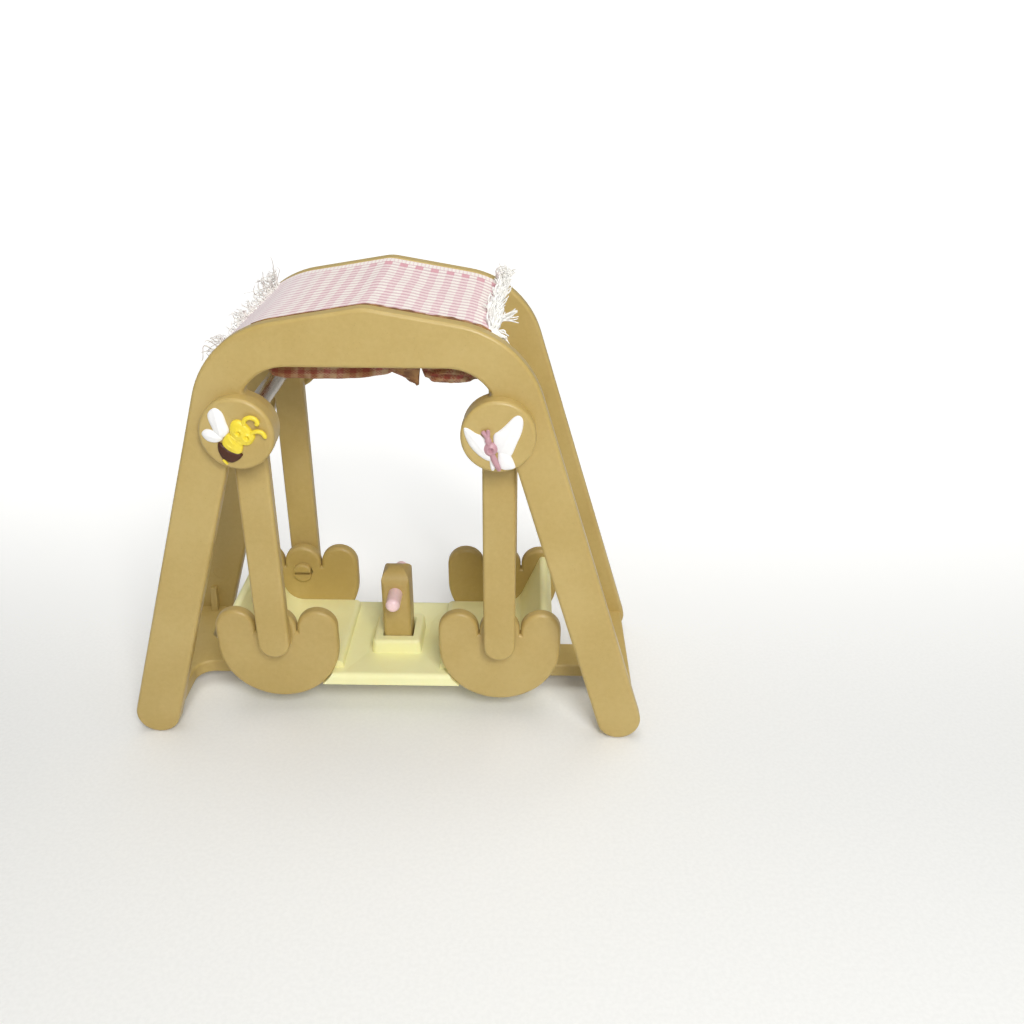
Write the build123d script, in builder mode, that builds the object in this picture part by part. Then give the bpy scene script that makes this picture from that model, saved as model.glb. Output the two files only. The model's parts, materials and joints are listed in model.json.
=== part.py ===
from build123d import *
import math
import os

os.makedirs("parts", exist_ok=True)

# Toy baby swing: two A-shaped plates joined by an H-shaped base and two axles carry a
# basket on four arms. The arms and the basket form a parallelogram, so the basket stays level.
# X runs across the swing, Y from front to rear, Z up. Millimetres and degrees.

# ---------------------------------------------------------------- driving dimensions
# A-shaped plates
stance_half = 60.0  # outer line of a leg where it meets the floor
foot_width = 10.4
outer_lean = 17.1
inner_lean = 16.65
apex_z = 100.75
roof_pitch = 9.65
beam_depth = 11.8
shoulder_r = 21.0
apex_r = 8.0
arch_corner_r = 10.0
notch_r = 0.8
foot_flat = 0.3  # half the flat left between a foot's two rounded corners
plate_thickness = 3.75
frame_depth = 48.15
plate_edge_r = 0.8
mark_r = 2.0
mark_depth = 0.15
mark_low_z = 17.4
mark_below_pivot = 8.67

# Axles, the lobes that hold them and the caps on their ends
pivot_below_arch = 12.78
pivot_inset = 1.17  # from the inner line of the leg, away from the leg
axle_r = 2.0
lobe_wall = 5.3
cap_r = 7.48
cap_proud = 3.0
cap_edge_r = 0.8
axle_in_cap = 2.0

# H-shaped base
base_floor_gap = 3.3
base_thickness = 3.3
rail_width = 8.0
crossbar_width = 9.7
base_corner_r = 4.0
base_edge_r = 0.5
peg_r = 1.2
peg_length = 2.2
gusset_thickness = 1.6
gusset_height = 6.4
gusset_depth = 2.6

# Arms and their snap pins
arm_width = 7.1
arm_thickness = 3.0
arm_edge_r = 0.7
pin_r = 2.25
pin_half_width = 2.03  # to the flats at its sides
pin_head_r = 2.5
pin_head_length = 1.3
pin_rim_r = 0.6
pin_slot_width = 0.7
pin_slot_depth = 3.6

# Cloud-shaped sides
cloud_thickness = 3.0
pin_rise = 2.8  # pin over the middle of the round part
cloud_half = 14.0
cloud_bottom_z = 5.1
cloud_top_z = 28.7
cloud_notch_gap = 0.2
cloud_notch_drop = 0.9
cloud_edge_r = 0.9
cloud_peg_r = 1.1
cloud_peg_length = 2.0
cloud_peg_spread = 15.0
cloud_peg_z = 11.2

# Tray, whose places across are given from the pivot's
tray_bottom_z = 8.7
tray_lip_z = 11.5
seat_z = 13.4
seat_inner_run = 14.05
seat_outer_run = 12.15
back_foot_run = 3.65
back_bevel_run = 8.15
back_bevel_z = 23.7
back_top_run = 9.55
back_top_z = 27.0
back_foot_r = 5.0
back_top_r = 1.0
heel_r = 8.0
well_depth = 0.6
well_floor_margin_x = 1.4  # beside the pedestal
well_floor_margin_y = 0.45
well_rim = 1.3
well_skirt = 5.2
riser_r = 1.2
lip_r = 1.2
pocket_roof = 2.0
pocket_wall = 2.6

# Pedestal, handle post and handle bar
pedestal_top_z = 14.3
pedestal_half_x = 5.75
pedestal_half_y = 6.45
pedestal_flare = 0.3
pedestal_edge_r = 0.9
pedestal_corner_r = 1.3
pedestal_x = 0.3  # the pedestal and its slot are a little off the middle
socket_x = 0.5
post_width = 6.75
post_half_y = 3.95
post_top_z = 31.7
post_crown = 3.6
post_top_flat = 0.75  # what the two rounded shoulders leave level
post_edge_r = 1.0
post_lean_x = 0.35  # the post sits nearer one side of its slot
socket_floor = 1.0
bar_r = 1.7
bar_z = 26.05
bar_half_length = 10.0
bar_end_r = 1.2

# Canopy cloth
canopy_inset = 3.6  # from the plates' shoulders
canopy_drop = 1.5
canopy_thickness = 0.8
hem_drop = 4.35  # below the top of the arch

# Relief figures on the front caps
figure_height = 1.1
figure_edge_r = 0.5
wing_height = 0.8
wing_edge_r = 0.3
eye_r = 0.33
eye_depth = 0.4

# Clearances
press_gap = 0.02
running_gap = 0.08
side_gap = 0.4
head_gap = 0.15
cloud_gap = 0.15
socket_gap_x = 0.35
socket_gap_y = 0.2
blind_end_gap = 0.15
cloth_gap = 0.3
neck = 0.2  # least overlap where one detail grows out of another

# ---------------------------------------------------------------- derived places
tan_outer = math.tan(math.radians(outer_lean))
tan_inner = math.tan(math.radians(inner_lean))
tan_roof = math.tan(math.radians(roof_pitch))
arch_z = apex_z - beam_depth
foot_r = foot_width / 2 - foot_flat
shoulder_x = (stance_half - tan_outer * apex_z) / (1.0 - tan_outer * tan_roof)
shoulder_z = apex_z - shoulder_x * tan_roof
foot_inner_x = stance_half - foot_width
arch_corner_x = foot_inner_x - tan_inner * arch_z
lobe_r = axle_r + lobe_wall
pivot_z = arch_z - pivot_below_arch
pivot_x = foot_inner_x - tan_inner * pivot_z - pivot_inset
mark_heights = (mark_low_z, pivot_z - mark_below_pivot)
canopy_half_x = shoulder_x - canopy_inset
hem_bottom_z = arch_z - hem_drop

# The figures stand proud at the front only, so the plates sit half that height to the rear.
mid_y = figure_height / 2
plate_inner = frame_depth / 2 - plate_thickness
plate_outer = frame_depth / 2
arm_outer = plate_inner - side_gap
arm_inner = arm_outer - arm_thickness
cloud_outer = arm_inner - side_gap
cloud_inner = cloud_outer - cloud_thickness
cap_face = plate_outer + cap_proud

base_top_z = base_floor_gap + base_thickness
base_mid_z = base_floor_gap + base_thickness / 2
cloud_centre_z = cloud_bottom_z + cloud_half
pin_z = cloud_centre_z + pin_rise
arm_drop = pivot_z - pin_z
cloud_lobe_pitch = (2 * cloud_half + cloud_notch_gap) / 3
cloud_lobe_r = (cloud_lobe_pitch - cloud_notch_gap) / 2
cloud_lobe_z = cloud_top_z - cloud_lobe_r
seat_inner_x = pivot_x - seat_inner_run
seat_outer_x = pivot_x + seat_outer_run
back_foot_x = pivot_x + back_foot_run
back_bevel_x = pivot_x + back_bevel_run
back_top_x = pivot_x + back_top_run
well_floor_z = tray_lip_z - well_depth
well_floor_half_x = pedestal_half_x + well_floor_margin_x
well_floor_half_y = pedestal_half_y + well_floor_margin_y
socket_z = tray_bottom_z + socket_floor

FRONT_REAR = (("front", -1), ("rear", 1))
LEFT_RIGHT = (("left", -1), ("right", 1))
HANDS = (-1, 1)


def leg_mid_x(z):
    """Centre line of a leg at height z."""
    outer = stance_half - tan_outer * z
    inner = foot_inner_x - tan_inner * z
    return (outer + inner) / 2


def at_y(y):
    """XZ plane at y from the middle of the swing, with its normal to the front."""
    return Plane.XZ.offset(-(mid_y + y))


def both_sides(x, z):
    """The same point on the left and on the right."""
    return Locations((-x, z), (x, z))


def hand_over(part, name):
    """Label a finished piece and write it as its own STEP file."""
    part.label = name
    export_step(part, f"parts/{name}.step")


def outer_outline():
    """The outline of an A-shaped plate before its opening is cut."""
    with BuildSketch() as outline:
        with BuildLine():
            Polyline(
                (-stance_half, 0), (-shoulder_x, shoulder_z), (0, apex_z),
                (shoulder_x, shoulder_z), (stance_half, 0), close=True,
            )
        make_face()
        tops = outline.vertices().sort_by(Axis.Y)
        fillet(tops[-1], apex_r)
        shoulders = outline.vertices().filter_by_position(Axis.Y, shoulder_z - 0.01, shoulder_z + 0.01)
        fillet(shoulders, shoulder_r)
    return outline.sketch


# ---------------------------------------------------------------- A-shaped plates
for end, sign in FRONT_REAR:
    with BuildPart() as frame:
        with BuildSketch(at_y(sign * plate_inner)) as outline:
            add(outer_outline())
            with BuildLine():
                Polyline(
                    (-foot_inner_x, 0), (-arch_corner_x, arch_z), (arch_corner_x, arch_z),
                    (foot_inner_x, 0), close=True,
                )
            make_face(mode=Mode.SUBTRACT)
            fillet(outline.vertices().filter_by_position(Axis.Y, arch_z - 0.01, arch_z + 0.01), arch_corner_r)
            fillet(outline.vertices().filter_by_position(Axis.Y, -0.01, 0.01), foot_r)
            with both_sides(pivot_x, pivot_z):
                Circle(lobe_r)
            notches = outline.vertices().filter_by_position(Axis.Y, pivot_z + lobe_r / 2, arch_z - notch_r)
            notches = notches.filter_by(lambda v: abs(v.X) < pivot_x)
            fillet(notches, notch_r)
        extrude(amount=plate_thickness, dir=(0, sign, 0))
        fillet(frame.faces().filter_by(Axis.Y).edges(), plate_edge_r)
        with BuildSketch(at_y(sign * plate_inner)):
            with both_sides(pivot_x, pivot_z):
                Circle(axle_r + press_gap)
        extrude(amount=plate_thickness, dir=(0, sign, 0), mode=Mode.SUBTRACT)
        with BuildSketch(at_y(sign * plate_inner)):
            with both_sides(leg_mid_x(base_mid_z), base_mid_z):
                Circle(peg_r + press_gap)
        extrude(amount=peg_length + blind_end_gap, dir=(0, sign, 0), mode=Mode.SUBTRACT)
        with BuildSketch(at_y(sign * plate_inner)):
            for z in mark_heights:
                with both_sides(leg_mid_x(z), z):
                    Circle(mark_r)
        extrude(amount=mark_depth, dir=(0, sign, 0), mode=Mode.SUBTRACT)
    hand_over(frame.part, f"{end}_frame")

# ---------------------------------------------------------------- base
with BuildPart() as base:
    with BuildSketch(Plane.XY.offset(base_floor_gap)) as h_outline:
        with Locations((0, mid_y)):
            with GridLocations(2 * leg_mid_x(base_mid_z), 0, 2, 1):
                Rectangle(rail_width, 2 * plate_inner)
            Rectangle(2 * leg_mid_x(base_mid_z), crossbar_width)
        inner_corners = h_outline.vertices().filter_by_position(
            Axis.Y, mid_y - crossbar_width / 2 - 0.01, mid_y + crossbar_width / 2 + 0.01
        )
        fillet(inner_corners, base_corner_r)
    extrude(amount=base_thickness)
    rim = base.faces().filter_by(Axis.Z).edges()
    rim = rim.filter_by(lambda e: abs(abs(e.center().Y - mid_y) - plate_inner) > 0.01)
    fillet(rim, base_edge_r)
    for sign in HANDS:
        with BuildSketch(at_y(sign * (plate_inner - neck))):
            with both_sides(leg_mid_x(base_mid_z), base_mid_z):
                Circle(peg_r)
        extrude(amount=peg_length + neck, dir=(0, sign, 0))
    for hand in HANDS:
        gusset_x = hand * leg_mid_x(base_top_z + gusset_height / 2)
        with BuildSketch(Plane.YZ.offset(gusset_x)):
            for sign in HANDS:
                wall_y = mid_y + sign * plate_inner
                foot_y = wall_y - sign * gusset_depth
                with BuildLine():
                    Polyline(
                        (wall_y, base_top_z - neck), (foot_y, base_top_z - neck), (foot_y, base_top_z),
                        (wall_y - sign * gusset_depth / 2, base_top_z + gusset_height),
                        (wall_y, base_top_z + gusset_height), close=True,
                    )
                make_face()
        extrude(amount=gusset_thickness / 2, both=True)
hand_over(base.part, "base")

# ---------------------------------------------------------------- axles and caps
for side, hand in LEFT_RIGHT:
    with BuildPart() as axle:
        with BuildSketch(at_y(0)):
            with Locations((hand * pivot_x, pivot_z)):
                Circle(axle_r)
        extrude(amount=plate_outer + axle_in_cap, both=True)
    hand_over(axle.part, f"{side}_axle")
    for end, sign in FRONT_REAR:
        with BuildPart() as cap:
            with BuildSketch(at_y(sign * plate_outer)):
                with Locations((hand * pivot_x, pivot_z)):
                    Circle(cap_r)
            extrude(amount=cap_proud, dir=(0, sign, 0))
            outer_face = cap.faces().sort_by(Axis.Y)[0 if sign < 0 else -1]
            fillet(outer_face.edges(), cap_edge_r)
            with BuildSketch(at_y(sign * plate_outer)):
                with Locations((hand * pivot_x, pivot_z)):
                    Circle(axle_r + press_gap)
            extrude(amount=axle_in_cap + blind_end_gap, dir=(0, sign, 0), mode=Mode.SUBTRACT)
        hand_over(cap.part, f"{end}_{side}_cap")

# ---------------------------------------------------------------- figures on the front caps
# Points on a cap are across and up from its centre. An oval is
# (across, up, half length, half width, turn of its length from across).
bee_head = (1.8, 0.45, 2.5, 2.35, -38.0)
bee_chest = (-1.0, -1.75, 2.2, 1.4, -38.0)
bee_tail = (-1.85, -3.2, 2.35, 2.0, 52.0)
bee_wing_ovals = ((-2.75, 3.0, 2.85, 1.3, 104.0), (-4.5, 0.1, 2.2, 1.1, 160.0))
bee_eyes = ((0.95, 0.75), (2.5, -0.2))
bee_feelers = (((2.3, 2.2), (3.3, 3.7), (4.8, 2.9)), ((3.5, 0.4), (4.9, 0.8), (5.7, -0.1)))
feeler_r = 0.48
spine_r = 0.75
tip_swell = 1.08  # a thread's round tip over its radius
butterfly_wing_ovals = (
    (2.3, 0.9, 4.1, 1.75, 61.0), (-4.0, -0.9, 3.7, 1.5, 130.0),
    (1.6, -4.6, 1.7, 1.0, -62.0), (-1.6, -4.9, 1.7, 0.85, -76.0),
)
butterfly_spine = ((-1.9, -0.4), (-1.35, -2.5), (0.1, -6.1))
butterfly_ball = (-1.35, -2.5, 1.4, 1.4, 0.0)
butterfly_head = (-2.0, 0.2, 0.75, 1.0, 0.0)
butterfly_feelers = (((-2.0, 0.2), (-2.5, 0.9), (-2.9, 1.7)), ((-2.0, 0.2), (-1.7, 0.9), (-1.7, 1.9)))


def cap_plane(hand):
    """Front face of a front cap, with its origin at the cap's centre."""
    return Plane(origin=(hand * pivot_x, mid_y - cap_face, pivot_z), x_dir=(1, 0, 0), z_dir=(0, -1, 0))


def raised_oval(hand, oval, height, edge_r):
    """A low oval with a rounded rim, standing on a front cap."""
    across, up, half_length, half_width, turn = oval
    with BuildPart() as pad:
        with BuildSketch(cap_plane(hand)):
            with Locations((across, up)):
                Ellipse(half_length, half_width, rotation=turn)
        extrude(amount=height)
        fillet(pad.faces().sort_by(Axis.Y)[0].edges(), edge_r)
    return pad.part


def raised_thread(hand, points, radius):
    """A half-round thread with a round tip, lying on a front cap along a curve."""
    face = cap_plane(hand)
    with BuildPart() as thread:
        with BuildLine(face) as path:
            Spline(*points)
        with BuildSketch(Plane(origin=path.line @ 0, z_dir=path.line % 0)):
            Circle(radius)
        sweep()
        with Locations(path.line @ 0, path.line @ 1):
            Sphere(radius * tip_swell)
        split(bisect_by=face, keep=Keep.TOP)
    return thread.part


bee_head_pad = raised_oval(-1, bee_head, figure_height, figure_edge_r)
bee_chest_pad = raised_oval(-1, bee_chest, figure_height - neck, figure_edge_r)
bee_feeler_threads = [raised_thread(-1, points, feeler_r) for points in bee_feelers]
with BuildPart() as bee_body:
    add(bee_head_pad)
    add(bee_chest_pad)
    add(bee_feeler_threads)
    with BuildSketch(cap_plane(-1).offset(figure_height)):
        with Locations(*bee_eyes):
            Circle(eye_r)
    extrude(amount=-eye_depth, mode=Mode.SUBTRACT)
hand_over(bee_body.part, "bee_body")

bee_tail_pad = raised_oval(-1, bee_tail, figure_height - neck, figure_edge_r)
with BuildPart() as bee_abdomen:
    add(bee_tail_pad)
    add(bee_body.part, mode=Mode.SUBTRACT)
hand_over(bee_abdomen.part, "bee_abdomen")

bee_wing_pads = [raised_oval(-1, oval, wing_height, wing_edge_r) for oval in bee_wing_ovals]
with BuildPart() as bee_wings:
    add(bee_wing_pads)
    add([bee_body.part, bee_abdomen.part], mode=Mode.SUBTRACT)
hand_over(bee_wings.part, "bee_wings")

butterfly_pads = [
    raised_oval(1, butterfly_ball, figure_height, figure_edge_r),
    raised_oval(1, butterfly_head, figure_height - neck, figure_edge_r),
    raised_thread(1, butterfly_spine, spine_r),
    raised_thread(1, butterfly_feelers[0], feeler_r),
    raised_thread(1, butterfly_feelers[1], feeler_r),
]
with BuildPart() as butterfly_body:
    add(butterfly_pads)
hand_over(butterfly_body.part, "butterfly_body")

butterfly_wing_pads = [raised_oval(1, oval, wing_height, wing_edge_r) for oval in butterfly_wing_ovals]
with BuildPart() as butterfly_wings:
    add(butterfly_wing_pads)
    add(butterfly_body.part, mode=Mode.SUBTRACT)
hand_over(butterfly_wings.part, "butterfly_wings")

# ---------------------------------------------------------------- arms
# Each arm turns on its axle. The split pin at its lower end snaps through a side of the basket.
for end, sign in FRONT_REAR:
    inward = (0, -sign, 0)
    for side, hand in LEFT_RIGHT:
        with BuildPart() as arm:
            with BuildSketch(at_y(sign * arm_inner)):
                with Locations((hand * pivot_x, pivot_z - arm_drop / 2)):
                    SlotCenterToCenter(arm_drop, arm_width, rotation=90)
            extrude(amount=arm_thickness, dir=(0, sign, 0))
            fillet(arm.faces().filter_by(Axis.Y).edges(), arm_edge_r)
            with BuildSketch(at_y(sign * arm_inner)):
                with Locations((hand * pivot_x, pivot_z)):
                    Circle(axle_r + running_gap)
            extrude(amount=arm_thickness, dir=(0, sign, 0), mode=Mode.SUBTRACT)
            with BuildSketch(at_y(sign * (arm_inner + neck))):
                with Locations((hand * pivot_x, pin_z)):
                    Circle(pin_r)
            extrude(amount=neck + side_gap + cloud_thickness + head_gap, dir=inward)
            with BuildSketch(at_y(sign * (cloud_inner - head_gap))):
                with Locations((hand * pivot_x, pin_z)):
                    Circle(pin_head_r)
            extrude(amount=pin_head_length, dir=inward)
            tip = arm.faces().sort_by(Axis.Y)[-1 if sign < 0 else 0]
            fillet(tip.edges(), pin_rim_r)
            with BuildSketch(at_y(sign * (cloud_inner - head_gap - pin_head_length))):
                with Locations((hand * pivot_x, pin_z)):
                    Rectangle(3 * pin_head_r, pin_slot_width)
                    with GridLocations(2 * pin_half_width + pin_head_r, 0, 2, 1):
                        Rectangle(pin_head_r, 3 * pin_head_r)
            extrude(amount=pin_slot_depth, dir=(0, sign, 0), mode=Mode.SUBTRACT)
        hand_over(arm.part, f"{end}_{side}_arm")

# ---------------------------------------------------------------- cloud-shaped sides
for end, sign in FRONT_REAR:
    for side, hand in LEFT_RIGHT:
        with BuildPart() as cloud:
            with BuildSketch(at_y(sign * cloud_inner)):
                shoulder_height = cloud_lobe_z - cloud_notch_drop - cloud_centre_z
                with Locations((hand * pivot_x, cloud_centre_z)):
                    Circle(cloud_half)
                with Locations((hand * pivot_x, cloud_centre_z + cloud_half)):
                    Rectangle(2 * cloud_half, 2 * cloud_half, mode=Mode.SUBTRACT)
                with Locations((hand * pivot_x, cloud_centre_z + shoulder_height / 2)):
                    Rectangle(2 * cloud_half, shoulder_height)
                with Locations((hand * pivot_x, cloud_centre_z + shoulder_height)):
                    with GridLocations(cloud_lobe_pitch, 0, 3, 1):
                        Rectangle(2 * cloud_lobe_r, 2 * cloud_notch_drop)
                with Locations((hand * pivot_x, cloud_lobe_z)):
                    with GridLocations(cloud_lobe_pitch, 0, 3, 1):
                        Circle(cloud_lobe_r)
            extrude(amount=cloud_thickness, dir=(0, sign, 0))
            fillet(cloud.faces().filter_by(Axis.Y).edges(), cloud_edge_r)
            with BuildSketch(at_y(sign * cloud_inner)):
                with Locations((hand * pivot_x, pin_z)):
                    Circle(pin_r + running_gap)
            extrude(amount=cloud_thickness, dir=(0, sign, 0), mode=Mode.SUBTRACT)
            with BuildSketch(at_y(sign * (cloud_inner + neck))):
                with Locations((hand * pivot_x, cloud_peg_z)):
                    with GridLocations(cloud_peg_spread, 0, 2, 1):
                        Circle(cloud_peg_r)
            extrude(amount=neck + cloud_peg_length, dir=(0, -sign, 0))
        hand_over(cloud.part, f"{end}_{side}_cloud")

# ---------------------------------------------------------------- tray
with BuildPart() as tray:
    # Seats and slanted backs, between the clouds
    for hand in HANDS:
        with BuildSketch(at_y(cloud_inner)) as seat_profile:
            with BuildLine():
                Polyline(
                    (hand * (seat_inner_x - neck), tray_bottom_z), (hand * seat_outer_x, tray_bottom_z),
                    (hand * seat_outer_x, back_bevel_z), (hand * (seat_outer_x - lip_r), back_top_z),
                    (hand * back_top_x, back_top_z), (hand * back_bevel_x, back_bevel_z),
                    (hand * back_foot_x, seat_z), (hand * seat_inner_x, seat_z),
                    (hand * (seat_inner_x - neck), tray_lip_z), close=True,
                )
            make_face()
            rounded = (
                (back_foot_x, seat_z, back_foot_r), (seat_outer_x, tray_bottom_z, heel_r),
                (back_bevel_x, back_bevel_z, back_top_r), (back_top_x, back_top_z, back_top_r),
                (seat_outer_x - lip_r, back_top_z, back_top_r), (seat_outer_x, back_bevel_z, back_top_r),
            )
            for corner_x, corner_z, corner_r in rounded:
                corner = seat_profile.vertices().sort_by_distance((hand * corner_x, corner_z))[0]
                fillet(corner, corner_r)
        extrude(amount=2 * cloud_inner)
        pocket_inner_x = seat_inner_x + pocket_wall
        pocket_outer_x = back_foot_x - pocket_wall
        with BuildSketch(Plane.XY.offset(tray_bottom_z)):
            with Locations((hand * (pocket_inner_x + pocket_outer_x) / 2, mid_y)):
                Rectangle(pocket_outer_x - pocket_inner_x, 2 * (cloud_inner - pocket_wall))
        extrude(amount=seat_z - pocket_roof - tray_bottom_z, mode=Mode.SUBTRACT)
    seat_edges = tray.edges().filter_by(Axis.Y)
    seat_edges = seat_edges.filter_by_position(Axis.Z, seat_z - 0.01, seat_z + 0.01)
    fillet(seat_edges.filter_by(lambda e: abs(abs(e.center().X) - seat_inner_x) < 0.01), riser_r)
    # Middle, as deep as the clouds' outer faces, cut to clear the clouds
    with BuildSketch(Plane.XY.offset(tray_bottom_z)):
        with Locations((0, mid_y)):
            Rectangle(2 * (seat_inner_x + well_skirt), 2 * cloud_outer)
    extrude(amount=tray_lip_z - tray_bottom_z)
    for sign in HANDS:
        with BuildSketch(at_y(sign * cloud_inner)):
            with both_sides(pivot_x, cloud_centre_z):
                Circle(cloud_half + cloud_gap)
        extrude(amount=cloud_outer, dir=(0, sign, 0), mode=Mode.SUBTRACT)
    lips = tray.edges().filter_by_position(Axis.Z, tray_lip_z - 0.01, tray_lip_z + 0.01)
    fillet(lips.filter_by(lambda e: abs(abs(e.center().Y - mid_y) - cloud_outer) < 0.01), lip_r)
    # Foot well: a shallow pan with four sloping sides
    with BuildSketch(Plane.XY.offset(well_floor_z)):
        with Locations((pedestal_x, mid_y)):
            Rectangle(2 * well_floor_half_x, 2 * well_floor_half_y)
    with BuildSketch(Plane.XY.offset(tray_lip_z)):
        with Locations((0, mid_y)):
            Rectangle(2 * (seat_inner_x - 2 * neck), 2 * (cloud_outer - well_rim))
    loft(mode=Mode.SUBTRACT)
    # Pedestal with the socket for the handle post
    with BuildSketch(Plane.XY.offset(well_floor_z - neck)):
        with Locations((pedestal_x, mid_y)):
            RectangleRounded(
                2 * (pedestal_half_x + pedestal_flare), 2 * (pedestal_half_y + pedestal_flare), pedestal_corner_r
            )
    with BuildSketch(Plane.XY.offset(pedestal_top_z)):
        with Locations((pedestal_x, mid_y)):
            RectangleRounded(2 * pedestal_half_x, 2 * pedestal_half_y, pedestal_corner_r)
    loft()
    pedestal_top = tray.faces().filter_by_position(Axis.Z, pedestal_top_z - 0.01, pedestal_top_z + 0.01)
    fillet(pedestal_top.edges(), pedestal_edge_r)
    with BuildSketch(Plane.XY.offset(socket_z)):
        with Locations((socket_x, mid_y)):
            Rectangle(post_width + 2 * socket_gap_x, 2 * (post_half_y + socket_gap_y))
    extrude(amount=pedestal_top_z - socket_z, mode=Mode.SUBTRACT)
    # Holes for the clouds' pegs
    for sign in HANDS:
        with BuildSketch(at_y(sign * cloud_inner)):
            for hand in HANDS:
                with Locations((hand * pivot_x, cloud_peg_z)):
                    with GridLocations(cloud_peg_spread, 0, 2, 1):
                        Circle(cloud_peg_r + press_gap)
        extrude(amount=cloud_peg_length + blind_end_gap, dir=(0, -sign, 0), mode=Mode.SUBTRACT)
hand_over(tray.part, "tray")

# ---------------------------------------------------------------- handle
with BuildPart() as post:
    with BuildSketch(Plane.YZ.offset(post_lean_x)):
        with BuildLine():
            Polyline(
                (mid_y - post_half_y, post_top_z - post_crown), (mid_y - post_half_y, socket_z),
                (mid_y + post_half_y, socket_z), (mid_y + post_half_y, post_top_z - post_crown),
            )
            ThreePointArc(
                (mid_y - post_half_y, post_top_z - post_crown), (mid_y, post_top_z),
                (mid_y + post_half_y, post_top_z - post_crown),
            )
        make_face()
    extrude(amount=post_width / 2, both=True)
    post_height = post_top_z + neck - socket_z
    with BuildSketch(at_y(0)) as front_view:
        with Locations((post_lean_x, socket_z + post_height / 2)):
            Rectangle(post_width, post_height)
        fillet(front_view.vertices().group_by(Axis.Y)[-1], (post_width - post_top_flat) / 2)
    extrude(amount=2 * post_half_y, both=True, mode=Mode.INTERSECT)
    with BuildSketch(Plane.XY.offset(socket_z)):
        with Locations((post_lean_x, mid_y)):
            RectangleRounded(post_width, 2 * post_half_y, post_edge_r)
    extrude(amount=post_height, mode=Mode.INTERSECT)
    with BuildSketch(at_y(0)):
        with Locations((post_lean_x, bar_z)):
            Circle(bar_r + press_gap)
    extrude(amount=2 * post_half_y, both=True, mode=Mode.SUBTRACT)
hand_over(post.part, "handle_post")

with BuildPart() as bar:
    with BuildSketch(at_y(0)):
        with Locations((post_lean_x, bar_z)):
            Circle(bar_r)
    extrude(amount=bar_half_length, both=True)
    fillet(bar.edges().filter_by(GeomType.CIRCLE), bar_end_r)
hand_over(bar.part, "handle_bar")

# ---------------------------------------------------------------- canopy cloth
# A sheet under the plates' tops, with a hem that hangs inside each plate.
cloth_half_y = plate_inner - cloth_gap
sheet_outline = offset(outer_outline(), amount=-canopy_drop)
hollow_outline = offset(outer_outline(), amount=-(canopy_drop + canopy_thickness))
with BuildPart() as canopy:
    with BuildSketch(at_y(0)):
        add(sheet_outline)
        with Locations((0, (hem_bottom_z + apex_z) / 2)):
            Rectangle(2 * canopy_half_x, apex_z - hem_bottom_z, mode=Mode.INTERSECT)
    extrude(amount=cloth_half_y, both=True)
    with BuildSketch(at_y(0)):
        add(hollow_outline)
        with Locations((0, (hem_bottom_z + apex_z) / 2)):
            Rectangle(2 * canopy_half_x + 2 * neck, apex_z - hem_bottom_z, mode=Mode.INTERSECT)
    extrude(amount=cloth_half_y - canopy_thickness, both=True, mode=Mode.SUBTRACT)
hand_over(canopy.part, "canopy")
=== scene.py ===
"""Dressed model of a toy baby swing.

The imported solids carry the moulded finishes. This script adds what they stand in for: the woven
canopy with its glued hems and frayed ends, and the painted relief on the two front caps.
Metres; X runs across the swing, Y from front to rear, Z up.
"""

import json
import logging
import math
from collections.abc import Sequence
from dataclasses import dataclass
from enum import Enum

import bmesh
import bpy
import numpy as np
from mathutils import Matrix, Vector
from numpy.typing import NDArray


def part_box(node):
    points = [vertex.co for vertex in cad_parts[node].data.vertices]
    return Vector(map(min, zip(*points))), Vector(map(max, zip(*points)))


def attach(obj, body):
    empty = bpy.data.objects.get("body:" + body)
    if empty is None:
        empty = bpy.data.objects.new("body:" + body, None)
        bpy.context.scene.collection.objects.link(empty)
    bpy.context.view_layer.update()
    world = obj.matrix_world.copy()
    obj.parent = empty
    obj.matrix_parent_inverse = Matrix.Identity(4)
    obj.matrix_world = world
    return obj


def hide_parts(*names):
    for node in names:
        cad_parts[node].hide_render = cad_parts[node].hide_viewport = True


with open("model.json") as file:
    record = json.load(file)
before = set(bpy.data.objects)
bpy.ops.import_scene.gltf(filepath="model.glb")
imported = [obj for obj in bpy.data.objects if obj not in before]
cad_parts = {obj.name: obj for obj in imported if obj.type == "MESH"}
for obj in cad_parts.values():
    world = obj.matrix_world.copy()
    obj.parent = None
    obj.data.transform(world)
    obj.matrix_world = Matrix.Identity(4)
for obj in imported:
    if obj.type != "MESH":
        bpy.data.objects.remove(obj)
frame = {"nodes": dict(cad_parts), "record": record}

FloatArray = NDArray[np.float64]
IntArray = NDArray[np.int64]
Colour = tuple[float, float, float]

Socket = bpy.types.NodeSocket
Material = bpy.types.Material
Piece = bpy.types.Object

MM = 0.001
SEED = 20
THREAD_SIDES = 5
log = logging.getLogger("baby_swing")


class Slot(Enum):
    """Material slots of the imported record."""

    TAN = "tan_plastic"
    CREAM = "cream_plastic"
    PINK = "pink_plastic"
    STEEL = "steel_rod"
    YELLOW = "yellow_paint"
    BROWN = "brown_paint"
    WHITE = "white_paint"
    MAUVE = "mauve_paint"
    CLOTH = "gingham_cloth"


def from_srgb(red: int, green: int, blue: int) -> Colour:
    """Turn an 8-bit display colour into linear light.

    Args:
        red: Red, 0 to 255.
        green: Green, 0 to 255.
        blue: Blue, 0 to 255.

    Returns:
        The three linear parts, 0 to 1.
    """
    parts = np.array([red, green, blue]) / 255.0
    linear = np.where(parts <= 0.04045, parts / 12.92, ((parts + 0.055) / 1.055) ** 2.4)
    return tuple(float(part) for part in linear)


# ---------------------------------------------------------------- surfaces


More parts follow.
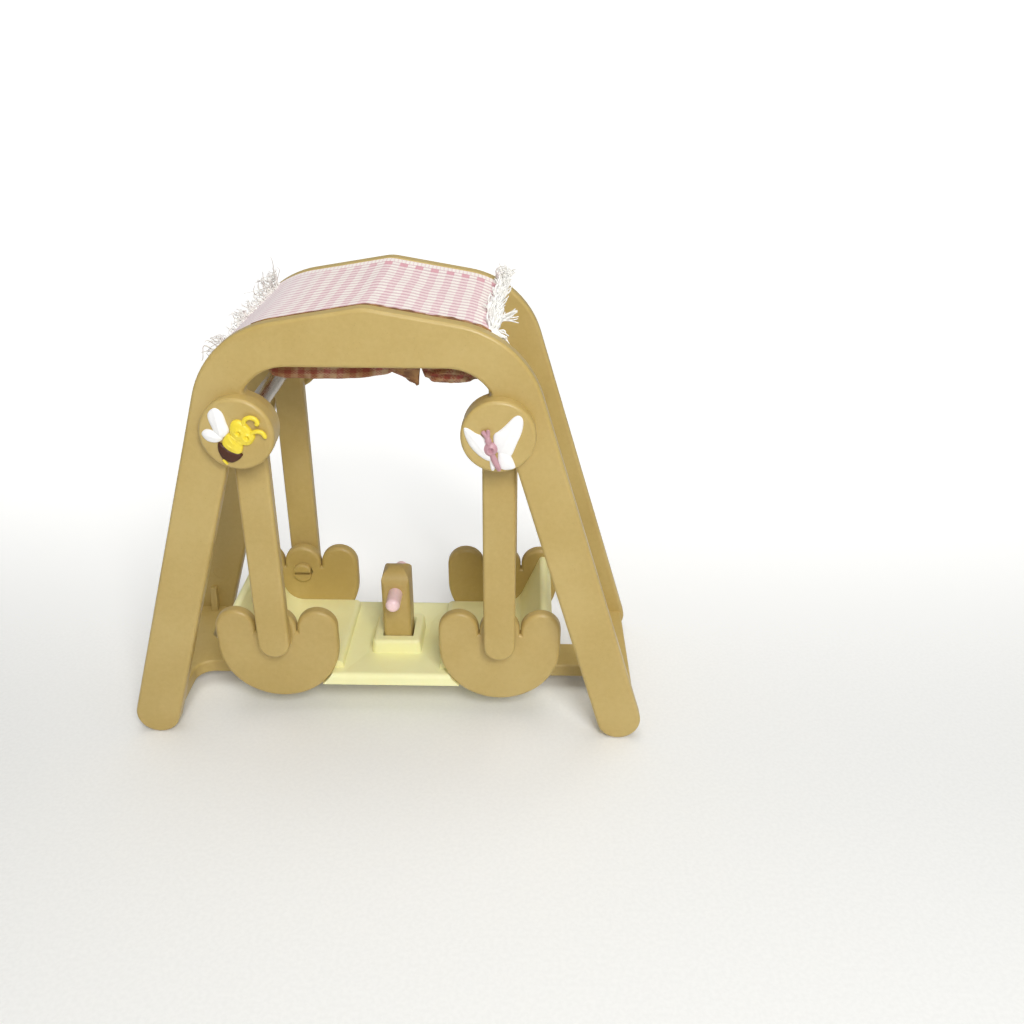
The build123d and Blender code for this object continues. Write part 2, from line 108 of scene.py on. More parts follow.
@dataclass
class Patch:
    """Vertices, faces and optional vertex UVs of one surface."""

    points: FloatArray
    faces: list[tuple[int, ...]]
    uv: FloatArray | None = None


def merged(patches: Sequence[Patch]) -> Patch:
    """Return several surfaces without UVs as one."""
    starts = np.cumsum([0] + [len(patch.points) for patch in patches]).tolist()
    faces = [tuple(corner + start for corner in face)
             for patch, start in zip(patches, starts) for face in patch.faces]
    return Patch(np.concatenate([patch.points for patch in patches]), faces)


def as_faces(*groups: IntArray) -> list[tuple[int, ...]]:
    """Return groups of faces as one list."""
    return [tuple(face) for group in groups for face in group.tolist()]


def grid_faces(rows: int, columns: int, wrap: bool = False) -> IntArray:
    """Quads of a grid whose vertex number is row * columns + column.

    Args:
        rows: Number of rows.
        columns: Number of columns.
        wrap: Whether the last column joins the first.

    Returns:
        One row of four vertex numbers for each quad.
    """
    row, column = np.meshgrid(np.arange(rows - 1), np.arange(columns if wrap else columns - 1), indexing="ij")
    row, column = row.ravel() * columns, column.ravel()
    ahead = (column + 1) % columns
    return np.stack((row + column, row + ahead, row + columns + ahead, row + columns + column), axis=1)


def smooth_curve(points: Sequence[Sequence[float]], samples: int, closed: bool = False) -> FloatArray:
    """Smooth curve through points.

    Catmull-Rom on the span from b to c, with a before it and d after it: half of
    2 b + (c - a) t + (2 a - 5 b + 4 c - d) t^2 + (3 b - a - 3 c + d) t^3. Past an open end the
    neighbour is the next point mirrored in the end.

    Args:
        points: The points, in order.
        samples: Number of points wanted.
        closed: Whether the last point leads back to the first.

    Returns:
        The curve, one point a row.
    """
    corner = np.array(points, float)
    spans = len(corner) if closed else len(corner) - 1
    place = np.arange(samples) * spans / samples if closed else np.linspace(0, spans, samples)
    span = np.minimum(np.floor(place).astype(int), spans - 1)
    t = (place - span)[:, None]
    before = corner[-1:] if closed else 2 * corner[:1] - corner[1:2]
    after = corner[:2] if closed else 2 * corner[-1:] - corner[-2:-1]
    row = np.concatenate([before, corner, after])
    a, b, c, d = (row[span + step] for step in range(4))
    return 0.5 * (2 * b + (c - a) * t + (2 * a - 5 * b + 4 * c - d) * t**2 + (3 * b - a - 3 * c + d) * t**3)


def tubes(paths: FloatArray, radii: FloatArray, sides: int) -> Patch:
    """Round threads along many paths at once, each closed by a point at both ends.

    A ring of a thread is path + radius * (cos(turn) * across + sin(turn) * up), where across is
    square to the path and up to both.

    Args:
        paths: Threads by rings by 3.
        radii: Threads by rings.
        sides: Sides of a thread.

    Returns:
        All threads as one surface.
    """
    count, rings, _ = paths.shape
    along = np.gradient(paths, axis=1)
    along /= np.linalg.norm(along, axis=2, keepdims=True) + 1e-12
    mean = along.mean(axis=1)
    least = np.argmin(np.abs(mean), axis=1)
    helper = np.eye(3)[least][:, None, :]
    across = np.cross(along, helper)
    across /= np.linalg.norm(across, axis=2, keepdims=True)
    up = np.cross(along, across)
    turn = np.linspace(0, 2 * math.pi, sides, endpoint=False)
    cosine, sine = (part(turn)[None, None, :, None] for part in (np.cos, np.sin))
    spoke = cosine * across[:, :, None] + sine * up[:, :, None]
    skin = paths[:, :, None] + radii[:, :, None, None] * spoke
    tips = np.stack([paths[:, 0] - along[:, 0] * radii[:, :1],
                     paths[:, -1] + along[:, -1] * radii[:, -1:]], axis=1)
    block = rings * sides
    first = np.arange(count) * block
    quads = (grid_faces(rings, sides, wrap=True)[None] + first[:, None, None]).reshape(-1, 4)
    side = np.arange(sides)
    ahead = (side + 1) % sides
    tip = np.repeat(count * block + 2 * np.arange(count)[:, None], sides, axis=1)
    low = np.stack([tip, first[:, None] + ahead, first[:, None] + side], axis=2).reshape(-1, 3)
    last = first[:, None] + (rings - 1) * sides
    high = np.stack([tip + 1, last + side, last + ahead], axis=2).reshape(-1, 3)
    points = np.concatenate([skin.reshape(-1, 3), tips.reshape(-1, 3)])
    return Patch(points, as_faces(quads, low, high))


def add_object(name: str, data: bpy.types.ID) -> Piece:
    """Put a new object that shows some data into the scene."""
    piece = bpy.data.objects.new(name, data)
    bpy.context.scene.collection.objects.link(piece)
    return piece


def make_piece(name: str, patch: Patch, material: Material, closed: bool = True) -> Piece:
    """Put a surface into the scene as a piece that rides on the frame.

    Args:
        name: Name of the piece.
        patch: Its surface, in metres.
        material: Its finish.
        closed: Whether the surface is closed, so that its normals can be turned outwards.

    Returns:
        The new object.
    """
    mesh = bpy.data.meshes.new(name)
    mesh.from_pydata(patch.points.tolist(), [], patch.faces)
    if patch.uv is not None:
        layer = mesh.uv_layers.new(name="UVMap")
        corner = np.zeros(len(mesh.loops), np.int32)
        mesh.loops.foreach_get("vertex_index", corner)
        layer.data.foreach_set("uv", patch.uv[corner].astype(np.float32).ravel())
    if closed:
        work = bmesh.new()
        work.from_mesh(mesh)
        bmesh.ops.recalc_face_normals(work, faces=work.faces[:])
        work.to_mesh(mesh)
        work.free()
    mesh.polygons.foreach_set("use_smooth", np.ones(len(mesh.polygons), bool))
    mesh.materials.append(material)
    mesh.update()
    piece = add_object(name, mesh)
    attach(piece, "frame")
    log.info("%s: %d faces on the frame", name, len(mesh.polygons))
    return piece


def thicken(piece: Piece, name: str, thickness: float) -> None:
    """Give a sheet its thickness, half of it on either side."""
    wall = piece.modifiers.new(name, "SOLIDIFY")
    wall.thickness = thickness
    wall.offset = 0.0


# ---------------------------------------------------------------- finishes


class NodeBench:
    """One material under construction, with short calls for the nodes it needs."""

    def __init__(self, name: str) -> None:
        """Start a material with a principled shader."""
        self.material = bpy.data.materials.new(name)
        self.material.use_nodes = True
        self.tree = self.material.node_tree
        self.tree.nodes.clear()
        self.shader = self.tree.nodes.new("ShaderNodeBsdfPrincipled")
        output = self.tree.nodes.new("ShaderNodeOutputMaterial")
        self.tree.links.new(self.shader.outputs["BSDF"], output.inputs["Surface"])

    def coordinate(self, kind: str = "Object") -> Socket:
        """Return Object or UV coordinates."""
        return self.tree.nodes.new("ShaderNodeTexCoord").outputs[kind]

    def put(self, socket: Socket, value: object) -> None:
        """Link a socket to another, or set its value."""
        if isinstance(value, Socket):
            self.tree.links.new(value, socket)
        elif isinstance(value, tuple) and len(value) == 3 and socket.type == "RGBA":
            socket.default_value = (*value, 1.0)
        else:
            socket.default_value = value

    def node(self, kind: str, output: str | int, inputs: dict[str | int, object], **settings: str) -> Socket:
        """Add a node with settings and inputs, and return one of its outputs."""
        node = self.tree.nodes.new("ShaderNode" + kind)
        for name, value in settings.items():
            setattr(node, name, value)
        for socket, value in inputs.items():
            self.put(node.inputs[socket], value)
        return node.outputs[output]

    def parts(self, vector: Socket) -> Sequence[Socket]:
        """Return the three parts of coordinates."""
        node = self.tree.nodes.new("ShaderNodeSeparateXYZ")
        self.put(node.inputs[0], vector)
        return node.outputs

    def scaled(self, vector: Socket, scale: Colour, turn: Colour = (0, 0, 0)) -> Socket:
        """Return coordinates turned and then scaled."""
        return self.node("Mapping", "Vector", {"Vector": vector, "Scale": scale, "Rotation": turn})

    def noise(self, vector: Socket, size: float, detail: float = 3.0, rough: float = 0.55) -> Socket:
        """Return noise whose features are about size metres across."""
        return self.node("TexNoise", "Fac", {"Vector": vector, "Scale": 1.0 / size, "Detail": detail,
                                             "Roughness": rough})

    def cells(self, vector: Socket, size: float) -> Socket:
        """Return the distance to the nearest of points about size metres apart."""
        return self.node("TexVoronoi", "Distance", {"Vector": vector, "Scale": 1.0 / size})

    def band(self, value: Socket, low: float, high: float, start: float = 0.0, end: float = 1.0) -> Socket:
        """Return value carried from low..high to start..end with soft ends."""
        return self.node("MapRange", "Result", {"From Min": low, "From Max": high, "To Min": start,
                                                "To Max": end, "Value": value},
                         interpolation_type="SMOOTHSTEP")

    def reckon(self, kind: str, first: object, second: object = 0.0) -> Socket:
        """Return one step of arithmetic on two numbers."""
        return self.node("Math", 0, {0: first, 1: second}, operation=kind)

    def times(self, first: object, second: object) -> Socket:
        """Return the product of two numbers."""
        return self.reckon("MULTIPLY", first, second)

    def blend(self, share: object, first: object, second: object, kind: str = "MIX") -> Socket:
        """Return two colours mixed by a share."""
        return self.node("Mix", 2, {"Factor": share, 6: first, 7: second}, data_type="RGBA", blend_type=kind)

    def bump(self, height: Socket, distance: float, strength: float = 1.0,
             under: Socket | None = None) -> Socket:
        """Return a normal from a height that spans distance metres."""
        inputs = {"Height": height, "Distance": distance, "Strength": strength}
        if under is not None:
            inputs["Normal"] = under
        return self.node("Bump", "Normal", inputs)

    def finish(self, **inputs: object) -> Material:
        """Set the shader's inputs by name, with _ for a space, and return the material."""
        for name, value in inputs.items():
            self.put(self.shader.inputs[name.replace("_", " ")], value)
        return self.material


@dataclass(frozen=True)
class MouldedPlastic:
    """Satin moulded plastic: soft pigment clouds, fine specks, a faint grain and hairline scratches."""

    name: str
    pale: Colour
    deep: Colour
    speck: Colour
    speck_share: float = 0.5
    roughness: float = 0.42
    skin: float = 0.02 * MM
    coat: float = 0.12

    def material(self) -> Material:
        """Return the finished material."""
        bench = NodeBench(self.name)
        place = bench.coordinate()
        cloud = bench.noise(place, 22 * MM, 2.0)
        mottle = bench.noise(place, 1.3 * MM, 4.0, 0.7)
        share = bench.band(bench.reckon("ADD", bench.times(cloud, 0.65), bench.times(mottle, 0.35)), 0.3, 0.7)
        body = bench.blend(share, self.deep, self.pale)
        dots = bench.band(bench.cells(place, 0.75 * MM), 0.2, 0.08, 0.0, self.speck_share)
        patchy = bench.band(bench.noise(place, 3.0 * MM, 2.0), 0.45, 0.62)
        body = bench.blend(bench.times(dots, patchy), body, self.speck)
        lines = bench.scaled(place, (1.0, 1.0, 0.035), (0.35, 0.5, 0.2))
        scratch = bench.band(bench.noise(lines, 0.5 * MM, 1.0), 0.74, 0.79)
        body = bench.blend(bench.times(scratch, 0.22), body, self.pale)
        handled = bench.noise(place, 9 * MM, 3.0)
        dull = bench.band(handled, 0.3, 0.7, self.roughness - 0.06, self.roughness + 0.1)
        grain = bench.bump(bench.noise(place, 0.22 * MM, 2.0), self.skin, 0.5)
        wave = bench.bump(bench.noise(place, 9 * MM, 1.0), 0.05 * MM, 0.3, grain)
        cut = bench.bump(bench.times(scratch, -1.0), 0.012 * MM, 0.5, wave)
        return bench.finish(Base_Color=body, Roughness=dull, Normal=cut, IOR=1.49,
                            Coat_Weight=self.coat, Coat_Roughness=0.3, Subsurface_Weight=0.06,
                            Subsurface_Radius=(0.9 * MM, 0.5 * MM, 0.25 * MM), Subsurface_Scale=1.0)


@dataclass(frozen=True)
class BrushPaint:
    """Paint put on a relief by hand: even colour with thin places, faint brush runs and a low gloss."""

    name: str
    colour: Colour
    thin: Colour
    roughness: float = 0.38
    coat: float = 0.2

    def material(self) -> Material:
        """Return the finished material."""
        bench = NodeBench(self.name)
        place = bench.coordinate()
        worn = bench.band(bench.noise(place, 0.9 * MM, 3.0), 0.58, 0.75, 0.0, 0.55)
        body = bench.blend(worn, self.colour, self.thin)
        run = bench.noise(bench.scaled(place, (1.0, 1.0, 0.3), (0.0, 0.7, 0.0)), 0.35 * MM, 2.0)
        normal = bench.bump(run, 0.03 * MM, 0.5)
        dull = bench.band(run, 0.3, 0.7, self.roughness - 0.05, self.roughness + 0.08)
        return bench.finish(Base_Color=body, Roughness=dull, Normal=normal, IOR=1.48, Coat_Weight=self.coat,
                            Coat_Roughness=0.25)


@dataclass(frozen=True)
class DrawnSteel:
    """Drawn steel rod with fine rings of drawing marks along it."""

    name: str
    colour: Colour
    roughness: float = 0.2

    def material(self) -> Material:
        """Return the finished material."""
        bench = NodeBench(self.name)
        place = bench.coordinate()
        drawn = bench.noise(bench.scaled(place, (1.0, 0.02, 1.0)), 0.12 * MM, 3.0)
        brown_tint = bench.band(bench.noise(place, 2.5 * MM, 4.0), 0.52, 0.72, 0.0, 0.35)
        body = bench.blend(brown_tint, self.colour, from_srgb(120, 88, 60))
        dull = bench.band(drawn, 0.2, 0.8, self.roughness - 0.06, self.roughness + 0.14)
        return bench.finish(Base_Color=body, Metallic=1.0, Roughness=dull,
                            Normal=bench.bump(drawn, 0.01 * MM, 0.4))


@dataclass(frozen=True)
class Gingham:
    """Yarn-dyed check: each crossing shows the warp or the weft yarn on top, white or dyed.

    Over u the warp changes colour every half period, and over v the weft, whose dyed lines are
    thinner and greyer. The yarn on top at a crossing is the warp where
    sin(pi u / yarn) * sin(pi v / yarn) is above zero. A cloth with a selvedge has a plain combed
    edge there, a row of strong squares beside it and a left end painted paler, with a fainter
    check, as a painted highlight.
    """

    name: str
    dyed: Colour
    line: Colour
    plain: Colour
    across: float = 3.48 * MM
    down: float = 2.2 * MM
    yarns_per_period: int = 8
    warp_share: float = 0.75
    selvedge: float = 0.0
    # brown_tint is multiplied over patches; on the hem it is painted shade with some glue stain.
    brown_tint: Colour | None = None
    strong: Colour = from_srgb(222, 142, 158)
    left_highlight: Colour = from_srgb(232, 220, 232)

    def _wave(self, bench: NodeBench, along: Socket, length: float) -> Socket:
        """Return the sine of 2 pi times a coordinate over a length."""
        return bench.reckon("SINE", bench.times(along, 2 * math.pi / length))

    def material(self) -> Material:
        """Return the finished material."""
        bench = NodeBench(self.name)
        place = bench.coordinate()
        over_x, over_y = bench.parts(bench.coordinate("UV"))[:2]
        wobble = bench.noise(place, 5 * MM, 2.0)
        drift = bench.times(bench.reckon("SUBTRACT", wobble, 0.5), 0.35 * MM)
        across = bench.reckon("ADD", over_x, drift)
        along = bench.reckon("ADD", over_y, drift)
        warp = bench.band(self._wave(bench, across, self.across), -0.2, 0.2)
        weft = bench.band(self._wave(bench, along, self.down), -0.05, 0.55)
        warp_round = self._wave(bench, across, 2 * self.across / self.yarns_per_period)
        weft_round = self._wave(bench, along, 2 * self.down / self.yarns_per_period)
        over = bench.band(bench.times(warp_round, weft_round), -0.25, 0.25, 0.1, self.warp_share)
        if self.selvedge:
            # Painted highlight: the warp's check fades out towards the left end.
            warp = bench.times(warp, bench.band(over_x, -24 * MM, -6 * MM, 0.25, 1.0))
        weft_tint = bench.blend(weft, self.plain, self.line)
        tint = bench.blend(over, weft_tint, bench.blend(warp, self.plain, self.dyed))
        if self.selvedge:
            edge = bench.band(over_y, self.selvedge, self.selvedge + 0.4 * MM, 1.0, 0.0)
            comb = bench.band(warp_round, 0.2, 0.8, 0.0, 0.4)
            tint = bench.blend(edge, tint, bench.blend(comb, self.plain, self.dyed))
            row = bench.band(over_y, self.selvedge + 2.4 * MM, self.selvedge + 3.2 * MM, 0.8, 0.0)
            row = bench.times(row, bench.times(warp, bench.reckon("SUBTRACT", 1.0, edge)))
            row = bench.times(row, bench.band(over_x, -6 * MM, 1 * MM, 0.2, 1.0))
            tint = bench.blend(row, tint, self.strong)
            # Painted highlight: the left end is blended towards a pale colour.
            tint = bench.blend(bench.band(over_x, -25 * MM, -11 * MM, 0.35, 0.0), tint, self.left_highlight)
        fuzz = bench.band(bench.noise(place, 0.6 * MM, 3.0, 0.7), 0.35, 0.75, 0.0, 0.22)
        tint = bench.blend(fuzz, tint, self.plain)
        # Painted shade with some glue stain: a brown tint multiplied over noise patches darkens the cloth.
        if self.brown_tint is not None:
            shade_and_stain_share = bench.band(bench.noise(place, 3.5 * MM, 3.0), 0.25, 0.6, 0.35, 0.95)
            tint = bench.blend(shade_and_stain_share, tint, self.brown_tint, "MULTIPLY")
        ribs = bench.blend(over, *(bench.reckon("ABSOLUTE", wave) for wave in (weft_round, warp_round)))
        normal = bench.bump(ribs, 0.07 * MM, 0.7)
        normal = bench.bump(bench.noise(place, 0.08 * MM, 2.0), 0.02 * MM, 0.5, normal)
        return bench.finish(Base_Color=tint, Roughness=0.88, Normal=normal, Sheen_Weight=0.25,
                            Sheen_Roughness=0.5, Sheen_Tint=(1.0, 0.93, 0.93, 1.0), IOR=1.4)


@dataclass(frozen=True)
class CottonThread:
    """Loose cotton thread: two tints along its length, fibres and a soft sheen."""

    name: str
    pale: Colour
    shade: Colour
    roughness: float = 0.9

    def material(self) -> Material:
        """Return the finished material."""
        bench = NodeBench(self.name)
        place = bench.coordinate()
        share = bench.band(bench.noise(place, 1.1 * MM, 3.0), 0.4, 0.62)
        twist = bench.noise(bench.scaled(place, (1.0, 1.0, 0.4), (0.6, 0.0, 0.4)), 0.1 * MM, 2.0)
        return bench.finish(Base_Color=bench.blend(share, self.pale, self.shade), Roughness=self.roughness,
                            Normal=bench.bump(twist, 0.03 * MM, 0.6), Sheen_Weight=0.5,
                            Sheen_Roughness=0.5, IOR=1.4)


@dataclass(frozen=True)
class OldGlue:
    """Dried amber glue: darker where it lies thick, with a dull wet gloss."""

    name: str
    thin: Colour
    thick: Colour

    def material(self) -> Material:
        """Return the finished material."""
        bench = NodeBench(self.name)
        place = bench.coordinate()
        share = bench.band(bench.noise(place, 1.4 * MM, 3.0), 0.35, 0.65)
        dull = bench.band(share, 0.0, 1.0, 0.3, 0.55)
        return bench.finish(Base_Color=bench.blend(share, self.thin, self.thick), Roughness=dull,
                            Normal=bench.bump(bench.noise(place, 0.4 * MM, 2.0), 0.06 * MM, 0.6), IOR=1.5)


class Finishes:
    """All finishes of the swing, each made once."""

    def __init__(self) -> None:
        """Mix every finish."""
        srgb = from_srgb
        self.of_slot = {slot: recipe.material() for slot, recipe in {
            Slot.TAN: MouldedPlastic("tan_satin_plastic", srgb(199, 174, 109), srgb(187, 160, 92),
                                     srgb(162, 133, 74), 0.35, 0.38, 0.014 * MM, 0.1),
            Slot.CREAM: MouldedPlastic("cream_tray_plastic", srgb(255, 253, 197), srgb(252, 247, 184),
                                       srgb(232, 220, 150), 0.2, 0.34, 0.01 * MM, 0.1),
            Slot.PINK: MouldedPlastic("pink_bar_plastic", srgb(255, 224, 224), srgb(250, 215, 216),
                                      srgb(214, 160, 166), 0.25, 0.34, 0.01 * MM, 0.25),
            Slot.STEEL: DrawnSteel("drawn_steel", srgb(214, 205, 194)),
            Slot.YELLOW: BrushPaint("bee_yellow_paint", srgb(244, 220, 62), srgb(226, 192, 48)),
            Slot.BROWN: BrushPaint("bee_brown_paint", srgb(74, 34, 8), srgb(56, 24, 6), 0.5, 0.04),
            Slot.WHITE: BrushPaint("wing_white_paint", srgb(250, 249, 248), srgb(240, 238, 237)),
            Slot.MAUVE: BrushPaint("butterfly_mauve_paint", srgb(196, 150, 158), srgb(168, 118, 130)),
            Slot.CLOTH: Gingham("pink_gingham", srgb(230, 176, 188), srgb(204, 152, 166),
                                srgb(255, 247, 238), warp_share=0.62, selvedge=2.4 * MM),
        }.items()}
        # Painted shade: the hems' gingham in darker, warmer colours stands for the shade under the plates'
        # arches, with a brown tint for shade and some glue stain.
        self.hem = Gingham("gingham_hem_painted_shade", srgb(182, 96, 92), srgb(186, 110, 100), srgb(214, 192, 158),
                           2.6 * MM, 1.9 * MM, brown_tint=srgb(176, 134, 100)).material()
        self.thread = CottonThread("white_cotton_thread", srgb(255, 253, 249), srgb(240, 238, 230)).material()
        self.grey_thread = CottonThread("grey_cotton_thread", srgb(246, 243, 236),
                                        srgb(222, 214, 210)).material()
        self.glue = OldGlue("amber_glue", srgb(160, 114, 58), srgb(112, 70, 34)).material()


# ---------------------------------------------------------------- moulded parts


def dress_moulded_parts(finishes: Finishes) -> None:
    """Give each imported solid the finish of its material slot."""
    for part in frame["record"]["subparts"]:
        node = frame["nodes"][part["node"]]
        finish = finishes.of_slot[Slot(part["material_slot"])]
        node.data.materials.clear()
        node.data.materials.append(finish)
        log.info("%s: finish %s", part["node"], finish.name)


# ---------------------------------------------------------------- canopy


@dataclass
class RoofLine:
    """Top outline of an A-shaped plate, moved inwards by a drop."""

    stance_half: float = 60.0 * MM
    outer_lean: float = math.radians(17.1)
    apex_z: float = 100.75 * MM
    roof_pitch: float = math.radians(9.65)
    shoulder_r: float = 21.0 * MM
    apex_r: float = 8.0 * MM

    def height(self, x: FloatArray, drop: float | FloatArray) -> FloatArray:
        """Height of the line over x.

        Over the roof it is apex - |x| tan(pitch) - drop / cos(pitch). Near the apex and past the
        shoulder it is centre + sqrt(radius^2 - (|x| - centre x)^2) of the two rounding circles.

        Args:
            x: Places across.
            drop: How far inside the plate's edge the line runs, one number or one for each place.

        Returns:
            The heights.
        """
        slope, lean = math.tan(self.roof_pitch), math.tan(self.outer_lean)
        away = np.abs(x)
        level, tilt = math.cos(self.roof_pitch), math.sin(self.roof_pitch)
        roof = self.apex_z - slope * away - drop / level
        crown = self.apex_r - drop
        crown_z = self.apex_z - drop / level - crown / level
        top = crown_z + np.sqrt(np.maximum(crown**2 - away**2, 0.0))
        shoulder_x = (self.stance_half - lean * self.apex_z) / (1.0 - lean * slope)
        turn = math.pi / 2 - self.outer_lean - self.roof_pitch
        start_x = shoulder_x - self.shoulder_r * math.tan(turn / 2) * level
        start_z = self.apex_z - slope * start_x
        middle_x = start_x - self.shoulder_r * tilt
        middle_z = start_z - self.shoulder_r * level
        bend = self.shoulder_r - drop
        fall = middle_z + np.sqrt(np.maximum(bend**2 - (away - middle_x) ** 2, 0.0))
        line = np.where(away < crown * tilt, top, roof)
        return np.where(away > middle_x + bend * tilt, fall, line)


@dataclass
class Canopy:
    """Gingham sheet stretched between the plates, with hems glued inside them and frayed ends."""

    finishes: Finishes
    roof: RoofLine
    front_drop: float = 0.45 * MM
    rear_drop: float = 0.05 * MM
    sag: float = 0.5 * MM
    thickness: float = 0.22 * MM
    wall_gap: float = 0.26 * MM
    fold_r: float = 0.7 * MM
    front_left: float = -29.6 * MM
    rear_left: float = -25.6 * MM
    right: float = 25.2 * MM
    columns: int = 150
    top_rows: int = 90
    hem_rows: int = 30
    fold_rows: int = 7
    tab_rows: int = 16
    tab_columns: int = 28
    tab_bare_columns: int = 8
    tab_thickness: float = 0.8 * MM
    thread_rings: int = 14
    thread_droop: float = 0.1

    def __post_init__(self) -> None:
        """Take the span between the plates from the frame."""
        self.front_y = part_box("front_frame")[1].y + self.wall_gap
        self.rear_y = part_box("rear_frame")[0].y - self.wall_gap

    def _edges(self, share: FloatArray) -> tuple[FloatArray, FloatArray]:
        """Return the left and the right end of the sheet at a share of its way to the rear."""
        wave = 0.35 * MM * np.sin(9.0 * share + 1.0) + 0.2 * MM * np.sin(23.0 * share)
        left = self.front_left + (self.rear_left - self.front_left) * share + wave
        right = self.right + 0.25 * MM * np.sin(11.0 * share) + 0.15 * MM * np.sin(31.0 * share + 2.0)
        return left, right

    def _way_to_rear(self, share: FloatArray) -> FloatArray:
        """Place from front to rear at a share of the way between the two folds."""
        return self.front_y + self.fold_r + (self.rear_y - self.front_y - 2 * self.fold_r) * share

    def _front_hem_line(self, x: FloatArray) -> FloatArray:
        """Height of the front hem's lower edge: even at the left, a torn notch, then a full flap."""
        place = np.array([-30, -20.2, -19.2, -17, -9, -3, 0, 2.5, 3.8, 5.2,
                          9.6, 10.3, 11.0, 12.4, 14, 16, 18, 20, 23, 26])
        height = np.array([88.0, 88.0, 86.0, 85.5, 85.4, 85.55, 85.9, 86.3, 86.6, 87.3,
                           87.5, 88.0, 86.1, 85.2, 84.85, 84.7, 84.85, 85.3, 86.2, 87.2])
        return np.interp(x, place * MM, height * MM)

    def _rear_hem_line(self, x: FloatArray) -> FloatArray:
        """Height of the rear hem's lower edge, cut by hand and a little uneven."""
        uneven = (85.4 + 0.35 * np.sin(180.0 * x + 0.5) + 0.2 * np.sin(610.0 * x)) * MM
        return uneven + 2.2 * MM * np.abs(x / (27 * MM)) ** 3

    def top(self, x: FloatArray, y: FloatArray) -> FloatArray:
        """Height of the sheet between the plates.

        The roof line, less a sag of (1 - w^2) where w runs from -1 to 1 between the plates, plus
        low ripples that die out at the plates and a slight lift of the two cut ends.

        Args:
            x: Places across.
            y: Places from front to rear.

        Returns:
            The heights.
        """
        w = np.clip((2 * y - self.front_y - self.rear_y) / (self.rear_y - self.front_y), -1, 1)
        slack = 1 - w**2
        ripple = (0.10 * np.sin(420 * x + 90 * y) + 0.07 * np.sin(250 * y + 130 * x + 1.0)
                  + 0.05 * np.sin(900 * x + 2.0))
        lift = (0.35 * np.exp(-(x - self.front_left) / (2.5 * MM))
                + 0.15 * np.exp(-(self.right - x) / (2.0 * MM)))
        drop = self.front_drop + (self.rear_drop - self.front_drop) * (1 + w) / 2
        return self.roof.height(x, drop) - self.sag * slack + MM * slack * (ripple + lift * 0.8)

    def sheet(self) -> Piece:
        """Make the one-piece sheet.

        Its cross-section is carried along the roof line: up the front hem, round a fold, over to
        the rear, round a fold and down the rear hem. u is the length along the roof line and v the
        length along the cross-section from the rear fold.

        Returns:
            The sheet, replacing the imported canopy.
        """
        side_rows = self.hem_rows + self.fold_rows
        share = np.concatenate([np.zeros(side_rows), np.linspace(0, 1, self.top_rows),
                                np.ones(side_rows)])[:, None]
        left, right = self._edges(share)
        way = np.linspace(0, 1, self.columns)[None, :]
        x = left + (right - left) * way
        turn = np.linspace(0, math.pi / 2, self.fold_rows, endpoint=False)[:, None]
        up = np.linspace(0, 1, self.hem_rows, endpoint=False)[:, None]
        hem = slice(0, self.hem_rows)
        fold = slice(self.hem_rows, side_rows)
        middle = slice(side_rows, side_rows + self.top_rows)
        y, z = np.zeros_like(x), np.zeros_like(x)
        y[middle] = self._way_to_rear(share[middle])
        z[middle] = self.top(x[middle], y[middle])
        ends = ((1, self.front_y, self._front_hem_line), (-1, self.rear_y, self._rear_hem_line))
        for inward, wall, line in ends:
            xs, ys, zs = x[::inward], y[::inward], z[::inward]
            crest = self.top(xs[fold], np.full_like(xs[fold], wall + inward * self.fold_r))
            ys[fold] = wall + inward * self.fold_r * (1 - np.cos(turn))
            zs[fold] = crest - self.fold_r * (1 - np.sin(turn))
            foot = line(xs[hem])
            peak = self.top(xs[hem], np.full_like(xs[hem], wall + inward * self.fold_r)) - self.fold_r
            zs[hem] = foot + (peak - foot) * up
            loose = (1 - up) ** 1.5
            bow = zs[hem] / MM + 0.035 * (xs[hem] / MM - 16) ** 2
            pleat = 0.42 * np.sin(4.6 * bow) * np.clip((xs[hem] / MM - 9) / 3, 0, 1)
            roll = 0.12 * np.sin(xs[hem] / MM * 1.3) + 0.35
            ys[hem] = wall + inward * MM * loose * (roll + pleat)
        points = np.stack([x, y, z], axis=2)
        steps = np.cumsum(np.linalg.norm(np.diff(points, axis=1), axis=2), axis=1)
        u = np.concatenate([np.zeros((len(x), 1)), steps], 1)
        u += left
        down = np.linalg.norm(np.diff(points, axis=0), axis=2).mean(axis=1)
        v = np.concatenate([[0.0], np.cumsum(down)])
        rear_fold = v[len(v) - side_rows]
        v = np.broadcast_to((rear_fold - v)[:, None], u.shape)
        row, _ = np.indices((len(x) - 1, self.columns - 1))
        in_hem = (row < self.hem_rows) | (row >= len(x) - 1 - self.hem_rows)
        piece = self._cloth("canopy_sheet", points, (u, v), self.finishes.of_slot[Slot.CLOTH], in_hem)
        thicken(piece, "cloth_thickness", self.thickness)
        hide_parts("canopy")
        self.flat_width = float(np.mean(u[:, -1] - u[:, 0]))
        self.flat_length = float(v.max() - v.min())
        diagonals = points[1:, 1:] - points[:-1, :-1], points[1:, :-1] - points[:-1, 1:]
        cell = np.linalg.norm(np.cross(*diagonals), axis=2) / 2
        self.flat_area = float(cell.sum())
        return piece

